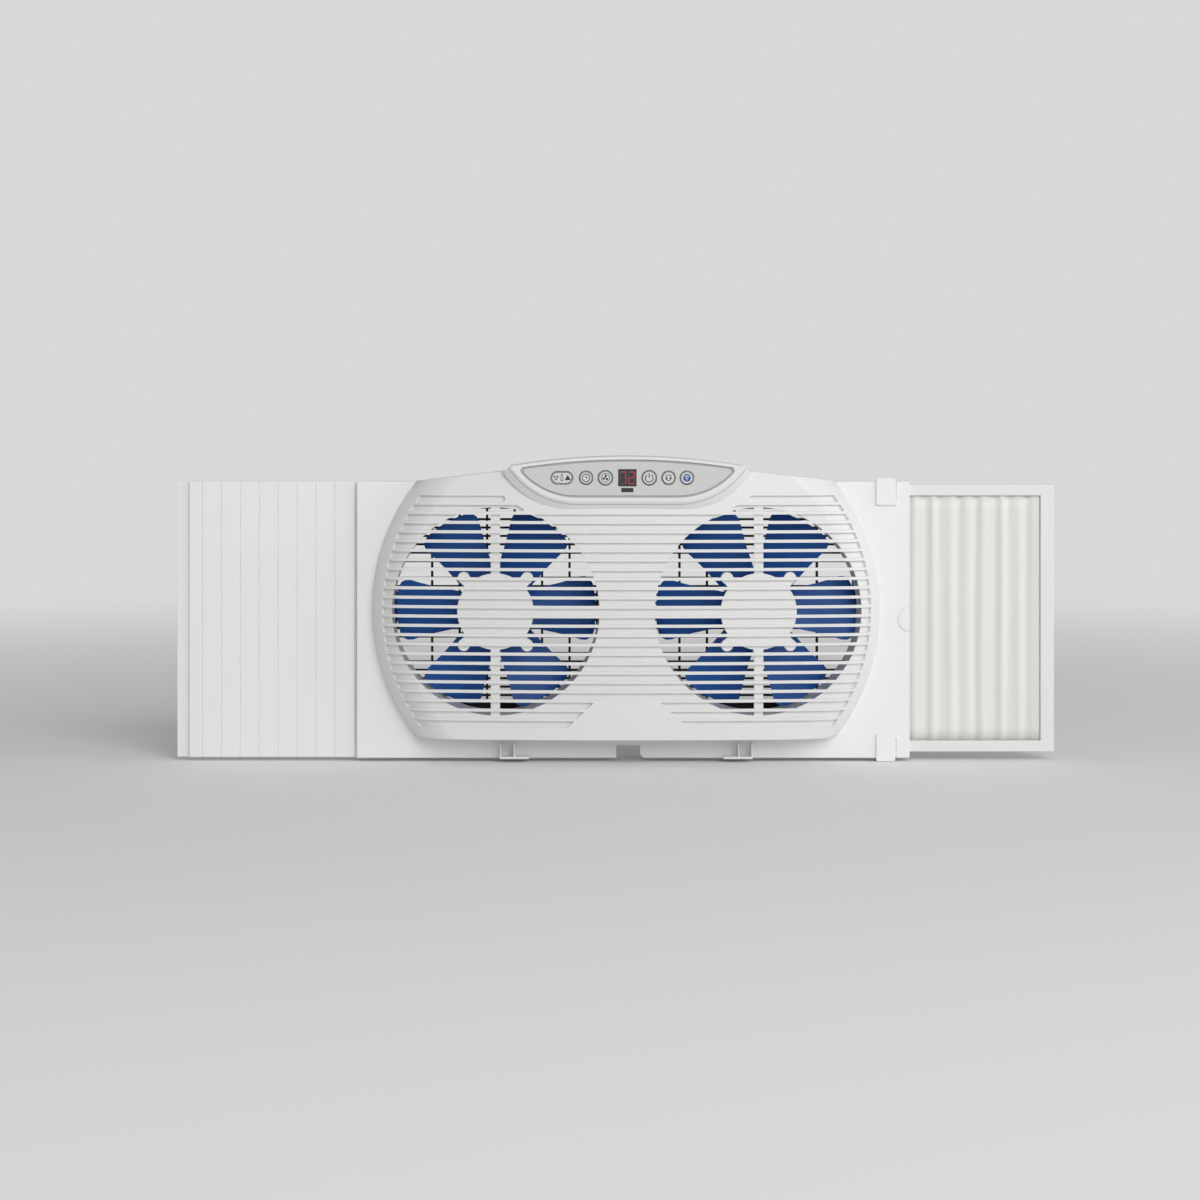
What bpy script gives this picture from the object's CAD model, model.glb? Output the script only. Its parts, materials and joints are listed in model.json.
import json
import math

import bmesh
import bpy
from mathutils import Matrix, Vector

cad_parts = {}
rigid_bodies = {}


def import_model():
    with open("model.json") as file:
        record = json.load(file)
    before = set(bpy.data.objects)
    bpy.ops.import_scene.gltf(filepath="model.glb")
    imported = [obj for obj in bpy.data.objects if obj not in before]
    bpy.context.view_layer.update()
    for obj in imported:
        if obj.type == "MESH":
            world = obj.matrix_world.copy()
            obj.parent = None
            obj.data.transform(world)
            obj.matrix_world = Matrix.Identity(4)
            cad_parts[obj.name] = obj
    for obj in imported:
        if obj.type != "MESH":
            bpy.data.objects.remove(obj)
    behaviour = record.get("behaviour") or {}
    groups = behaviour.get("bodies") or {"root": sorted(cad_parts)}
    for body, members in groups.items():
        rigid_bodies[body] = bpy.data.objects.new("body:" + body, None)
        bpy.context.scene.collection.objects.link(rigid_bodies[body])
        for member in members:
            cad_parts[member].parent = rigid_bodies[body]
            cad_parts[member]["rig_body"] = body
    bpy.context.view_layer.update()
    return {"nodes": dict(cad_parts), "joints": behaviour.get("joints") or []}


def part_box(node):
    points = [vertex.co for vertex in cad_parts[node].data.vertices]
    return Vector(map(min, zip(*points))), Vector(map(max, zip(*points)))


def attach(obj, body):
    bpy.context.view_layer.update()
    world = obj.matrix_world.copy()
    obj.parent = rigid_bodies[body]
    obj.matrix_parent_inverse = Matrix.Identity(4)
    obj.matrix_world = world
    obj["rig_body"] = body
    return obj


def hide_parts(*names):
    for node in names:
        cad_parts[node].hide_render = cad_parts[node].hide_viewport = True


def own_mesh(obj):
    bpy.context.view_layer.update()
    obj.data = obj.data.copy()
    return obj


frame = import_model()
nodes = frame["nodes"]

# ---------------------------------------------------------------------------------------------
# Main window panel.
# One flat moulding in white plastic. It closes the gap under the sash and carries everything
# else: the front shell is screwed on from behind, and the side pieces run in its channels.
# ---------------------------------------------------------------------------------------------


class Sum:
    """A value in a node tree. Sums and products of it add their Math nodes."""

    def __init__(self, wiring, socket):
        self.wiring, self.socket = wiring, socket

    def calc(self, operation, *others):
        return self.wiring.node("ShaderNodeMath", {"operation": operation}, dict(enumerate((self, *others))))

    def __add__(self, other):
        return self.calc("ADD", other)

    def __mul__(self, other):
        return self.calc("MULTIPLY", other)

    __radd__, __rmul__ = __add__, __mul__


class Wiring:
    """A node tree: node() adds any node, from its type, its settings and its inputs."""

    def __init__(self, tree):
        self.tree = tree

    def put(self, node, inputs):
        for key, value in inputs.items():
            if isinstance(value, Sum):
                self.tree.links.new(value.socket, node.inputs[key])
            else:
                node.inputs[key].default_value = value

    def node(self, kind, settings, inputs, output=0):
        node = self.tree.nodes.new(kind)
        for key, value in settings.items():
            setattr(node, key, value)
        self.put(node, inputs)
        return Sum(self, node.outputs[output])


class Finish(Wiring):
    """A material, with the nodes that a finish is made of."""

    def __init__(self, name, color, roughness, **constants):
        self.material = bpy.data.materials.new(name)
        self.material.use_nodes = True
        super().__init__(self.material.node_tree)
        self.shader = self.tree.nodes["Principled BSDF"]
        self.put(self.shader, {"Base Color": (*color, 1), "Roughness": roughness, **constants})

    def place(self):
        return self.node("ShaderNodeTexCoord", {}, {}, "Object")

    def noise(self, scale, detail):
        return self.node("ShaderNodeTexNoise", {}, {"Vector": self.place(), "Scale": scale, "Detail": detail})

    def mix(self, share, low, high):
        return self.node("ShaderNodeMix", {"data_type": "RGBA"}, {0: share, 6: low, 7: high}, 2)

    def relief(self, height, strength, distance, soft_edge):
        inputs = {"Height": height, "Strength": strength, "Distance": distance}
        if soft_edge:
            inputs["Normal"] = self.node("ShaderNodeBevel", {"samples": 6}, {"Radius": soft_edge})
        self.put(self.shader, {"Normal": self.node("ShaderNodeBump", {}, inputs)})


# How fine the patches of tone, of gloss and the grain are, to a metre
TONE, GLOSS, GRAIN = 9, 60, 1800
GLOSS_SPREAD = 0.1
GRAIN_STRENGTH = 0.35


def moulded(name, low, high, roughness, grain=0.00004, soft_edge=0.0, marked=None, **constants):
    """Moulded plastic: fine grain, a faint change of tone and of gloss, and edges that are a little round."""
    finish = Finish(name, high, roughness, **constants)
    color = finish.mix(finish.noise(TONE, 3), (*low, 1), (*high, 1))
    finish.put(finish.shader, {
        "Base Color": marked(finish, color) if marked else color,
        "Roughness": roughness - GLOSS_SPREAD / 2 + GLOSS_SPREAD * finish.noise(GLOSS, 4),
    })
    finish.relief(finish.noise(GRAIN, 2), GRAIN_STRENGTH, grain, soft_edge)
    return finish.material


def wear(node, material):
    """Gives a CAD node its material."""
    mesh = nodes[node].data
    mesh.materials.clear()
    mesh.materials.append(material)


def shown(name, shape, material, body, crisp=35):
    """Makes a piece of a mesh that is in its place, smooth where it turns by less than an angle."""
    data = bpy.data.meshes.new(name)
    shape.to_mesh(data)
    shape.free()
    data.materials.append(material)
    data.shade_smooth()
    data.set_sharp_from_angle(angle=math.radians(crisp))
    piece = bpy.data.objects.new(name, data)
    bpy.context.scene.collection.objects.link(piece)
    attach(piece, body)
    return piece


# Corners that lie this close are one, and faces that turn by less than this many degrees are one face
SAME_SPOT = 2e-6
FLAT = 0.5
# Edges that turn by more than this many degrees are rounded
SHARP = 30


def merged(node):
    """A CAD node's mesh with its loose triangles joined into whole faces."""
    shape = bmesh.new()
    shape.from_mesh(nodes[node].data)
    bmesh.ops.remove_doubles(shape, verts=shape.verts, dist=SAME_SPOT)
    bmesh.ops.dissolve_limit(shape, angle_limit=math.radians(FLAT), verts=shape.verts, edges=shape.edges)
    return shape


def rounded(node, material, width, segments=2):
    """Stands for a CAD node, with its edges rounded as a mould leaves them."""
    piece = shown(node + "_rounded", merged(node), material, nodes[node]["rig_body"])
    rounding = piece.modifiers.new("rounding", "BEVEL")
    rounding.width, rounding.segments = width, segments
    rounding.limit_method, rounding.angle_limit = "ANGLE", math.radians(SHARP)
    rounding.harden_normals = True
    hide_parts(node)


WHITE_LOW, WHITE = (0.785, 0.785, 0.778), (0.80, 0.80, 0.793)
white = moulded("white_plastic", WHITE_LOW, WHITE, 0.42)
bright_white = moulded("bright_white_plastic", (0.865, 0.865, 0.86), (0.88, 0.88, 0.875), 0.42)
rounded("window_panel", bright_white, width=0.0006)
rounded("foot_sockets", bright_white, width=0.0003)

# ---------------------------------------------------------------------------------------------
# Rear housing and ducts.
# A shallow white box on the panel's back, with a short round duct in it for each fan.
# ---------------------------------------------------------------------------------------------
rounded("rear_housing", white, width=0.0008)
for node in ("shroud_left", "shroud_right"):
    wear(node, white)

# ---------------------------------------------------------------------------------------------
# Rear grille.
# A black plastic grid that is screwed over the back of the housing.
# ---------------------------------------------------------------------------------------------
grille_black = moulded("dark_plastic", (0.010, 0.011, 0.013), (0.016, 0.017, 0.020), 0.42, soft_edge=0.0004)
wear("rear_grille", grille_black)

# ---------------------------------------------------------------------------------------------
# Front shell.
# One white moulding with the louvres, the two hub discs and the raised pod for the controls.
# ---------------------------------------------------------------------------------------------
GLUE = (0.46, 0.46, 0.46, 1)
# The pod's lower edge, and how near to the fascia's back a face is the seat's floor
POD_FOOT = 0.27
SEAT_BAND = 0.0003


def glued(finish, color):
    """Grey glue shows on the floor of the fascia's seat, in the groove round the plate."""
    y, z = (finish.node("ShaderNodeSeparateXYZ", {}, {0: finish.place()}, axis) for axis in "YZ")
    fascia_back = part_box("control_fascia")[1].y
    on_seat = y.calc("COMPARE", fascia_back, SEAT_BAND) * z.calc("GREATER_THAN", POD_FOOT)
    return finish.mix(on_seat, color, GLUE)


wear("front_grille", moulded("white_plastic_shell", WHITE_LOW, WHITE, 0.42, soft_edge=0.0005, marked=glued))

# ---------------------------------------------------------------------------------------------
# Fascia of the control pod.
# A light grey plate, stuck into the seat on the pod, with a groove left free round it.
# ---------------------------------------------------------------------------------------------
fascia_grey = moulded("fascia_plastic", (0.60, 0.60, 0.595), (0.635, 0.635, 0.63), 0.4)
rounded("control_fascia", fascia_grey, width=0.0003)

# ---------------------------------------------------------------------------------------------
# Keys, with their printed signs.
# Pale caps that stand a little out of the fascia. A dark ring is printed round each of them
# and another on its rim, and the signs on top are generic.
# ---------------------------------------------------------------------------------------------
FILM = 0.00004
# Corners of a drawing that lie this close are one
INK_SPOT = 1e-7
FASCIA_FACE = -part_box("control_fascia")[0].y
# Degrees from one corner of a drawn arc to the next
ARC_STEP = 7.5
# The rings' inner and outer edges, from a key's edge
OUTER_RIM, INNER_RIM = (0.00035, 0.0009), (-0.00095, -0.0003)
key_white = moulded("key_plastic", (0.66, 0.66, 0.655), (0.70, 0.70, 0.695), 0.35)
ink = moulded("dark_ink", (0.045, 0.045, 0.047), (0.06, 0.06, 0.062), 0.5)
black_ink = moulded("black_ink", (0.02, 0.02, 0.021), (0.03, 0.03, 0.031), 0.5)
blue_ink = moulded("blue_ink", (0.012, 0.085, 0.33), (0.02, 0.11, 0.40), 0.4)


def ring(shape, x, z, inner, outer, start=0, sweep=360):
    """Draws a ring or a part of one. Angles run from +X towards +Z."""
    turn = math.radians(start)
    ends = [shape.verts.new((x + r * math.cos(turn), 0, z + r * math.sin(turn))) for r in (inner, outer)]
    edge = shape.edges.new(ends)
    bmesh.ops.spin(shape, geom=[*ends, edge], cent=(x, 0, z), axis=(0, -1, 0), angle=math.radians(sweep),
                   steps=max(6, round(sweep / ARC_STEP)), use_merge=sweep == 360)


def drawn_at(x, z, turn):
    """Lays a drawing in X and Y down in the row's X and Z, turned from +X towards +Z."""
    return (Matrix.Translation((x, 0, z)) @ Matrix.Rotation(-math.radians(turn), 4, "Y")
            @ Matrix.Rotation(math.radians(90), 4, "X"))


def spot(shape, x, z, radius, sides=24, turn=0):
    """Draws a filled disc, or a polygon with a corner on top."""
    bmesh.ops.create_circle(shape, cap_ends=True, segments=sides, radius=radius, matrix=drawn_at(x, z, turn))


def bar(shape, x, z, length, width, turn=0, pointed=0.0):
    """Draws a filled bar. Pointed takes its corners off."""
    made = bmesh.ops.create_grid(shape, x_segments=1, y_segments=1, size=0.5,
                                 matrix=drawn_at(x, z, turn) @ Matrix.Diagonal((length, width, 1, 1)))
    if pointed:
        bmesh.ops.bevel(shape, geom=made["verts"], offset=pointed, affect="VERTICES", segments=1, profile=0.5,
                        material=-1)


def printed(name, shape, material, face, body):
    """Turns a drawing into a film of ink on a face that lies that far ahead of the panel."""
    bmesh.ops.remove_doubles(shape, verts=shape.verts, dist=INK_SPOT)
    bmesh.ops.solidify(shape, geom=shape.faces[:], thickness=FILM)
    bmesh.ops.recalc_face_normals(shape, faces=shape.faces)
    ahead = min(vertex.co.y for vertex in shape.verts)
    bmesh.ops.translate(shape, verts=shape.verts, vec=(0, -face - FILM - ahead, 0))
    shown(name, shape, material, body)


KEY_FACE = -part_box("temperature_rocker")[0].y
# The row's height, the rocker's middle, its rounded ends and how far their centres lie from its middle
KEY_Z = 0.305
ROCKER_X, ROCKER_R, ROCKER_REACH = -0.0698, 0.0063, 0.0049
KEY_R, WIDE_KEY_R = 0.0069, 0.0075
keys = {"timer": KEY_R, "speed": WIDE_KEY_R, "power": WIDE_KEY_R, "airflow": KEY_R, "wireless": KEY_R}
key_x = {name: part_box(name + "_key")[1].x - radius for name, radius in keys.items()}


def round_rim(shape, name, band):
    """Draws the ring that follows a round key's edge."""
    ring(shape, key_x[name], KEY_Z, keys[name] + band[0], keys[name] + band[1])


def long_rim(shape, band):
    """Draws the ring that follows the rocker's edge: two half rings and two bars."""
    inner, outer = ROCKER_R + band[0], ROCKER_R + band[1]
    for side, start in ((-1, 90), (1, -90)):
        ring(shape, ROCKER_X + side * ROCKER_REACH, KEY_Z, inner, outer, start, 180)
        bar(shape, ROCKER_X, KEY_Z + side * (inner + outer) / 2, 2 * ROCKER_REACH, outer - inner)


for node in ("temperature_rocker", *(name + "_key" for name in keys)):
    rounded(node, key_white, width=0.00035, segments=3)
rims = bmesh.new()
for name in keys:
    round_rim(rims, name, OUTER_RIM)
    rim = bmesh.new()
    round_rim(rim, name, INNER_RIM)
    printed(name + "_rim", rim, ink, KEY_FACE, name + "_button")
long_rim(rims, OUTER_RIM)
printed("key_rims", rims, ink, FASCIA_FACE, "panel")
rim = bmesh.new()
long_rim(rim, INNER_RIM)
printed("temperature_rim", rim, ink, KEY_FACE, "temperature_button")

# An outlined triangle for cooler, a thermometer, and a filled triangle for warmer
SIGN_X = 0.0062
COOLER_UP, COOLER_R, COOLER_SIDE, COOLER_LINE = 0.0003, 0.0014, 0.0053, 0.0007
BULB_DOWN, BULB_R, BULB_LINE = 0.0018, 0.0009, 0.0007
TUBE_UP, TUBE_HALF, TUBE, TUBE_LINE = 0.0012, 0.0009, 0.0038, 0.0006
WARMER_DOWN, WARMER_R = 0.0006, 0.0038
sign = bmesh.new()
for turn in (90, 210, 330):
    out = math.radians(turn)
    bar(sign, ROCKER_X - SIGN_X + COOLER_R * math.cos(out), KEY_Z + COOLER_UP + COOLER_R * math.sin(out),
        COOLER_SIDE, COOLER_LINE, turn + 90)
ring(sign, ROCKER_X, KEY_Z - BULB_DOWN, BULB_R, BULB_R + BULB_LINE, 125, 290)
for side in (-1, 1):
    bar(sign, ROCKER_X + side * TUBE_HALF, KEY_Z + TUBE_UP, TUBE, TUBE_LINE, 90)
ring(sign, ROCKER_X, KEY_Z + TUBE_UP + TUBE / 2, TUBE_HALF - TUBE_LINE / 2, TUBE_HALF + TUBE_LINE / 2, 0, 180)
printed("temperature_sign", sign, ink, KEY_FACE, "temperature_button")
sign = bmesh.new()
spot(sign, ROCKER_X + SIGN_X, KEY_Z - WARMER_DOWN, WARMER_R, 3)
printed("warmer_sign", sign, black_ink, KEY_FACE, "temperature_button")

# A clock for the timer. Each hand has its middle, from the clock's, its length and its turn
CLOCK_R, CLOCK_LINE, HAND_LINE = 0.0036, 0.0009, 0.0008
HANDS = ((0, 0.0013, 0.0030, 90), (0.001, -0.0001, 0.0022, 0))
sign = bmesh.new()
ring(sign, key_x["timer"], KEY_Z, CLOCK_R, CLOCK_R + CLOCK_LINE)
for across, up, length, turn in HANDS:
    bar(sign, key_x["timer"] + across, KEY_Z + up, length, HAND_LINE, turn)
printed("timer_sign", sign, black_ink, KEY_FACE, "timer_button")

# Three blades on arms, in a ring, for the fans' speed
SPEED_R, SPEED_LINE = 0.0042, 0.0007
BLADE_OUT, BLADE_R, ARM, ARM_LINE = 0.0022, 0.0013, 0.0016, 0.0007
sign = bmesh.new()
ring(sign, key_x["speed"], KEY_Z, SPEED_R, SPEED_R + SPEED_LINE)
printed("speed_ring", sign, ink, KEY_FACE, "speed_button")
sign = bmesh.new()
for turn in (80, 200, 320):
    across, up = math.cos(math.radians(turn)), math.sin(math.radians(turn))
    spot(sign, key_x["speed"] + BLADE_OUT * across, KEY_Z + BLADE_OUT * up, BLADE_R)
    bar(sign, key_x["speed"] + ARM / 2 * across, KEY_Z + ARM / 2 * up, ARM, ARM_LINE, turn)
printed("speed_sign", sign, black_ink, KEY_FACE, "speed_button")

# An open ring for power, with a bar through its gap
POWER_DOWN, POWER_R, POWER_LINE = 0.0003, 0.0036, 0.0010
BAR_UP, BAR, BAR_LINE = 0.0026, 0.0048, 0.0011
sign = bmesh.new()
ring(sign, key_x["power"], KEY_Z - POWER_DOWN, POWER_R, POWER_R + POWER_LINE, 125, 290)
bar(sign, key_x["power"], KEY_Z + BAR_UP, BAR, BAR_LINE, 90)
printed("power_sign", sign, black_ink, KEY_FACE, "power_button")

# Two arcs with arrows for the air's direction. Each arc has its middle's height, its start and its sweep
ARCS = ((-0.0002, 25, 130), (0.0006, 218, 104))
ARC_R, ARC_LINE = 0.0030, 0.0008
ARROW_X, ARROW_DOWN, ARROW_R = 0.0021, 0.0003, 0.0018
sign = bmesh.new()
for up, start, sweep in ARCS:
    ring(sign, key_x["airflow"], KEY_Z + up, ARC_R, ARC_R + ARC_LINE, start, sweep)
printed("airflow_sign", sign, black_ink, KEY_FACE, "airflow_button")
sign = bmesh.new()
for side in (-1, 1):
    spot(sign, key_x["airflow"] + side * ARROW_X, KEY_Z - ARROW_DOWN, ARROW_R, 3, -90 * side)
printed("airflow_arrows", sign, black_ink, KEY_FACE, "airflow_button")

# White waves over a dot, on a blue disc, for the wireless link
DISC_R, DISC_SIDES = 0.0042, 48
WAVES = (0.0014, 0.0028, 0.0042)
WAVE_DOWN, WAVE_LINE = 0.0021, 0.0006
sign = bmesh.new()
spot(sign, key_x["wireless"], KEY_Z, DISC_R, DISC_SIDES)
printed("wireless_disc", sign, blue_ink, KEY_FACE, "wireless_button")
sign = bmesh.new()
for radius in WAVES:
    ring(sign, key_x["wireless"], KEY_Z - WAVE_DOWN, radius, radius + WAVE_LINE, 50, 80)
spot(sign, key_x["wireless"], KEY_Z - WAVE_DOWN, WAVE_LINE)
printed("wireless_sign", sign, key_white, KEY_FACE + FILM, "wireless_button")

# ---------------------------------------------------------------------------------------------
# Display and receiver window.
# Smoked windows, flush with the fascia. Behind the larger one stand two seven-segment figures
# in red, and their dark segments show faintly.
# ---------------------------------------------------------------------------------------------
LENS_FACE = -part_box("display_lens")[0].y
DIGIT_X, DIGIT_W, DIGIT_H = 0.0045, 0.0058, 0.0125
STROKE, STROKE_GAP, STROKE_TIP = 0.0014, 0.0002, 0.42
# Each segment's place on the figure, in half widths and half heights, and its turn
SEGMENTS = {
    "a": (0, 1, 0), "b": (1, 0.5, 90), "c": (1, -0.5, 90), "d": (0, -1, 0), "e": (-1, -0.5, 90),
    "f": (-1, 0.5, 90), "g": (0, 0, 0),
}
smoked = moulded("smoked_plastic", (0.038, 0.038, 0.036), (0.046, 0.046, 0.044), 0.18, grain=0.000004)
red_light = moulded("lit_segment", (0.32, 0.030, 0.060), (0.36, 0.038, 0.075), 0.4,
                    **{"Emission Color": (1.0, 0.05, 0.12, 1), "Emission Strength": 0.06})
dim_segment = moulded("dark_segment", (0.060, 0.050, 0.048), (0.070, 0.058, 0.056), 0.4)
for node in ("display_lens", "receiver_window"):
    rounded(node, smoked, width=0.00015)
lit, dim = bmesh.new(), bmesh.new()
for place, on in ((-DIGIT_X, "abc"), (DIGIT_X, "abdeg")):
    for part, (across, up, turn) in SEGMENTS.items():
        length = (DIGIT_H / 2 if turn else DIGIT_W) - STROKE_GAP
        bar(lit if part in on else dim, place + across * DIGIT_W / 2, KEY_Z + up * DIGIT_H / 2,
            length, STROKE, turn, STROKE * STROKE_TIP)
printed("lit_segments", lit, red_light, LENS_FACE, "panel")
printed("dark_segments", dim, dim_segment, LENS_FACE, "panel")

# ---------------------------------------------------------------------------------------------
# Electronics.
# Two green boards, screwed to posts behind the shell, with their parts and flat cables.
# ---------------------------------------------------------------------------------------------
black = moulded("black_plastic", (0.010, 0.010, 0.010), (0.018, 0.018, 0.018), 0.45)
board = moulded("board", (0.012, 0.09, 0.04), (0.02, 0.12, 0.05), 0.3)
for node in ("display_module", "receiver_eye", "key_switches", "room_thermistor", "board_cable",
             "motor_lead_left", "motor_lead_right"):
    wear(node, black)
for node in ("control_board", "power_board"):
    wear(node, board)
rubber = moulded("grommet_rubber", (0.012, 0.012, 0.012), (0.02, 0.02, 0.02), 0.7)
rounded("cord_grommet", rubber, width=0.0004)

# ---------------------------------------------------------------------------------------------
# Motors, and the larger parts on the power board.
# Zinc-plated cans with iron and copper inside, screwed to the bosses behind each hub disc.
# The transformer is iron, the relays and capacitors have plastic cases, and the screws are zinc-plated.
# ---------------------------------------------------------------------------------------------
steel = moulded("zinc_steel", (0.50, 0.50, 0.51), (0.60, 0.60, 0.61), 0.35, Metallic=1.0)
iron = moulded("iron", (0.16, 0.16, 0.17), (0.22, 0.22, 0.23), 0.5, Metallic=1.0)
copper = moulded("copper", (0.55, 0.22, 0.10), (0.65, 0.28, 0.14), 0.3, Metallic=1.0)
bronze = moulded("bronze", (0.40, 0.26, 0.12), (0.48, 0.32, 0.15), 0.45, Metallic=1.0)
made_of = (
    (("motor_can", "motor_cap", "shaft", "fan_nut"), steel), (("stator", "rotor"), iron),
    (("windings",), copper), (("bearings",), bronze),
)
for side in ("_left", "_right"):
    for parts, material in made_of:
        for part in parts:
            wear(part + side, material)
wear("power_transformer", iron)
wear("power_relays", moulded("relay_plastic", (0.02, 0.08, 0.3), (0.03, 0.1, 0.36), 0.35))
wear("motor_capacitors", moulded("film_plastic", (0.5, 0.3, 0.05), (0.6, 0.38, 0.08), 0.35))
for node in ("board_screws", "housing_screws", "rear_grille_screws", "motor_screws"):
    wear(node, steel)

# ---------------------------------------------------------------------------------------------
# Fans.
# Six-bladed wheels in blue plastic, each moulded in one piece with its cup.
# ---------------------------------------------------------------------------------------------
blue = moulded("fan_plastic", (0.005, 0.095, 0.38), (0.007, 0.110, 0.44), 0.42)
for node in ("fan_left", "fan_right"):
    rounded(node, blue, width=0.0006)

# ---------------------------------------------------------------------------------------------
# Filler panel, on the left.
# A hollow white moulding that slides in the main panel's channels. Lines are scored into it,
# where it may be cut to fit a narrower window.
# ---------------------------------------------------------------------------------------------
rounded("filler_panel", bright_white, width=0.0003)

# ---------------------------------------------------------------------------------------------
# Extender, on the right.
# Two rails and an end stile that slide out of the main panel, and lock tabs that hold them.
# ---------------------------------------------------------------------------------------------
rounded("extender_frame", white, width=0.0006)
for node in ("lock_tab_upper", "lock_tab_lower"):
    rounded(node, bright_white, width=0.0005, segments=3)

# ---------------------------------------------------------------------------------------------
# Curtain of the extender.
# One thin sheet of cream vinyl, pressed into soft upright folds. It is welded to the panel's
# rib and to the end stile, and folds up as the extender slides in.
# ---------------------------------------------------------------------------------------------
PLEATS = 8
PLEAT_STEPS, UP_STEPS = 16, 20
VINYL_THICK = 0.0005
SPARE_DEPTH = 0.0006
# How deep the folds are, as a share of the room for them, and how much that changes
FOLD_SHARE, FOLD_SPREAD = 0.42, 0.2
# How far the folds wander from their places along the sheet, and how far they lean
WANDER, LEAN = 0.35, 0.2
vinyl = moulded("curtain_vinyl", (0.765, 0.75, 0.715), (0.815, 0.80, 0.765), 0.5, grain=0.00006)
low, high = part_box("extender_curtain")
width, height = high.x - low.x, high.z - low.z
middle, deep = (low.y + high.y) / 2, (high.y - low.y) / 2 - SPARE_DEPTH
curtain = bmesh.new()
bmesh.ops.create_grid(curtain, x_segments=PLEATS * PLEAT_STEPS, y_segments=UP_STEPS, size=0.5)
for vertex in curtain.verts:
    # The odd rates keep two folds from being alike
    across, up = vertex.co.x + 0.5, vertex.co.y + 0.5
    drift = WANDER * math.sin(across * 23 + 1.3) + LEAN * math.sin(up * 5 + across * 11)
    fold = math.sin(across * PLEATS * 2 * math.pi + drift * math.sin(math.pi * across))
    share = FOLD_SHARE + FOLD_SPREAD * math.sin(across * 37 + 0.5 * math.sin(up * 4))
    vertex.co = (low.x + across * width, middle + deep * fold * share, low.z + up * height)
bmesh.ops.recalc_face_normals(curtain, faces=curtain.faces)
sheet = shown("curtain_sheet", curtain, vinyl, "panel", 180)
thickness = sheet.modifiers.new("thickness", "SOLIDIFY")
thickness.thickness, thickness.offset = VINYL_THICK, 0
travel = next(-joint["range_m"][0] for joint in frame["joints"] if joint["name"] == "extender_slide")
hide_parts("extender_curtain")
(width - travel) / width
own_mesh(sheet)

# ---------------------------------------------------------------------------------------------
# Floor, light and camera.
# The fan stands on its bottom edge on a pale floor. The camera is level, well back from the
# panel, a little left of its middle and above it, and the view is shifted to frame it.
# ---------------------------------------------------------------------------------------------
FLOOR_Z = -0.004
FLOOR_HALF = 40
FADE_FROM, FADE_TO = 0.5, 3.0
BACKGROUND = (0.69, 0.69, 0.685, 1)
ground = bmesh.new()
bmesh.ops.create_grid(ground, x_segments=1, y_segments=1, size=FLOOR_HALF)
bmesh.ops.translate(ground, verts=ground.verts, vec=(0, 0, FLOOR_Z))
floor_data = bpy.data.meshes.new("floor")
ground.to_mesh(floor_data)
ground.free()
floor = bpy.data.objects.new("floor", floor_data)
bpy.context.scene.collection.objects.link(floor)
pale = Finish("floor_paint", (0.84, 0.84, 0.835), 0.9)
distance = pale.node("ShaderNodeVectorMath", {"operation": "LENGTH"}, {0: pale.place()}, "Value")
far = pale.node("ShaderNodeMapRange", {"interpolation_type": "SMOOTHSTEP"},
                {0: distance, 1: FADE_FROM, 2: FADE_TO})
camera_ray = pale.node("ShaderNodeLightPath", {}, {}, "Is Camera Ray")
glow = pale.node("ShaderNodeEmission", {}, {"Color": BACKGROUND})
painted = Sum(pale, pale.shader.outputs[0])
faded = pale.node("ShaderNodeMixShader", {}, {0: far * camera_ray, 1: painted, 2: glow})
pale.put(pale.tree.nodes["Material Output"], {"Surface": faded})
floor_data.materials.append(pale.material)

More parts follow.
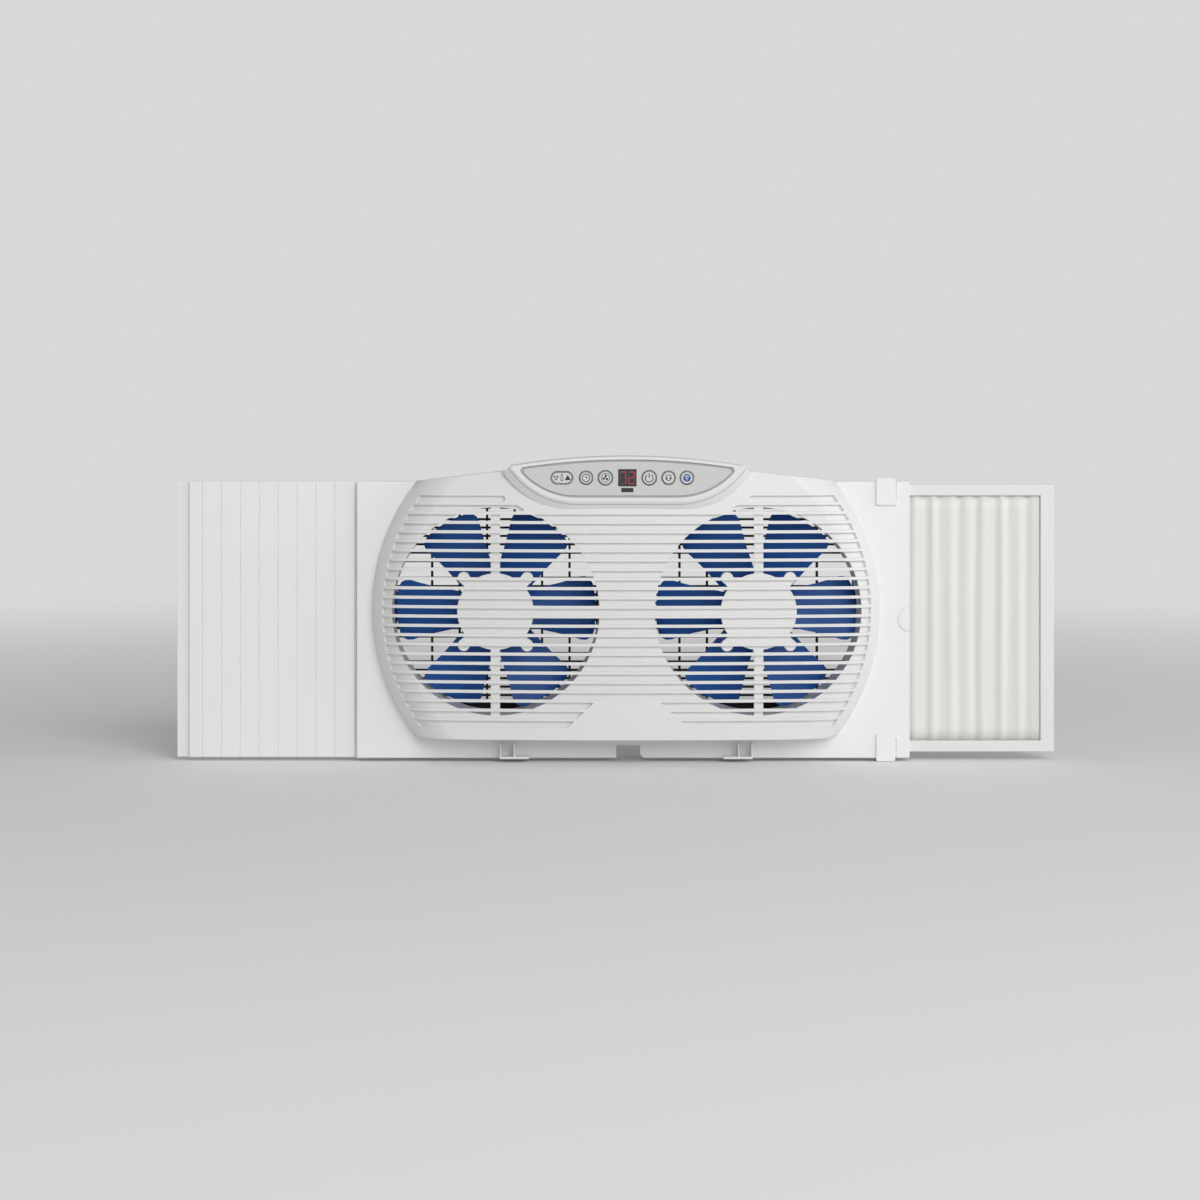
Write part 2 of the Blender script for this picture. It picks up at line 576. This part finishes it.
SKY_STRENGTH = 0.38
world = bpy.data.worlds.new("studio")
bpy.context.scene.world = world
world.use_nodes = True
studio = Wiring(world.node_tree)
sky = studio.tree.nodes["Background"]
studio.put(sky, {"Color": (1, 1, 1, 1), "Strength": SKY_STRENGTH})
seen = studio.node("ShaderNodeBackground", {}, {"Color": BACKGROUND})
camera_ray = studio.node("ShaderNodeLightPath", {}, {}, "Is Camera Ray")
glass_ray = studio.node("ShaderNodeLightPath", {}, {}, "Is Transmission Ray")
lighting = Sum(studio, sky.outputs[0])
either_ray = camera_ray.calc("MAXIMUM", glass_ray)
blend = studio.node("ShaderNodeMixShader", {}, {0: either_ray, 1: lighting, 2: seen})
studio.put(studio.tree.nodes["World Output"], {"Surface": blend})

FAN_MIDDLE = Vector((0, 0, 0.16))


def soft_light(name, place, size, watts):
    """A square lamp that points at the fan's middle."""
    lamp = bpy.data.lights.new(name, "AREA")
    lamp.shape, lamp.size, lamp.energy = "SQUARE", size, watts
    holder = bpy.data.objects.new(name, lamp)
    holder.location = place
    holder.rotation_euler = (FAN_MIDDLE - Vector(place)).to_track_quat("-Z", "Y").to_euler()
    bpy.context.scene.collection.objects.link(holder)


soft_light("key_light", (1.6, -4.15, 2.45), 3.0, 119)
soft_light("side_light", (5.5, -1.8, 1.5), 2.4, 65)

# How far the camera stands back, and what a pixel of the picture measures on the panel's face
CAMERA_BACK = 2.8
PIXEL = 0.001086
# The picture's size, and where the camera's axis and the frame's origin show in it
IMAGE_PX = 1200
AXIS_PX = (552, 423)
ORIGIN_PX = (626, 757.7)
SENSOR_MM = 36
camera_data = bpy.data.cameras.new("camera")
camera_data.sensor_width = SENSOR_MM
camera_data.lens = SENSOR_MM * CAMERA_BACK / (IMAGE_PX * PIXEL)
camera_data.shift_x = (IMAGE_PX / 2 - AXIS_PX[0]) / IMAGE_PX
camera_data.shift_y = (AXIS_PX[1] - IMAGE_PX / 2) / IMAGE_PX
camera = bpy.data.objects.new("camera", camera_data)
camera.location = ((AXIS_PX[0] - ORIGIN_PX[0]) * PIXEL, -CAMERA_BACK, (ORIGIN_PX[1] - AXIS_PX[1]) * PIXEL)
camera.rotation_euler = (math.radians(90), 0, 0)
bpy.context.scene.collection.objects.link(camera)
bpy.context.scene.camera = camera
bpy.context.scene.view_settings.view_transform = "Standard"
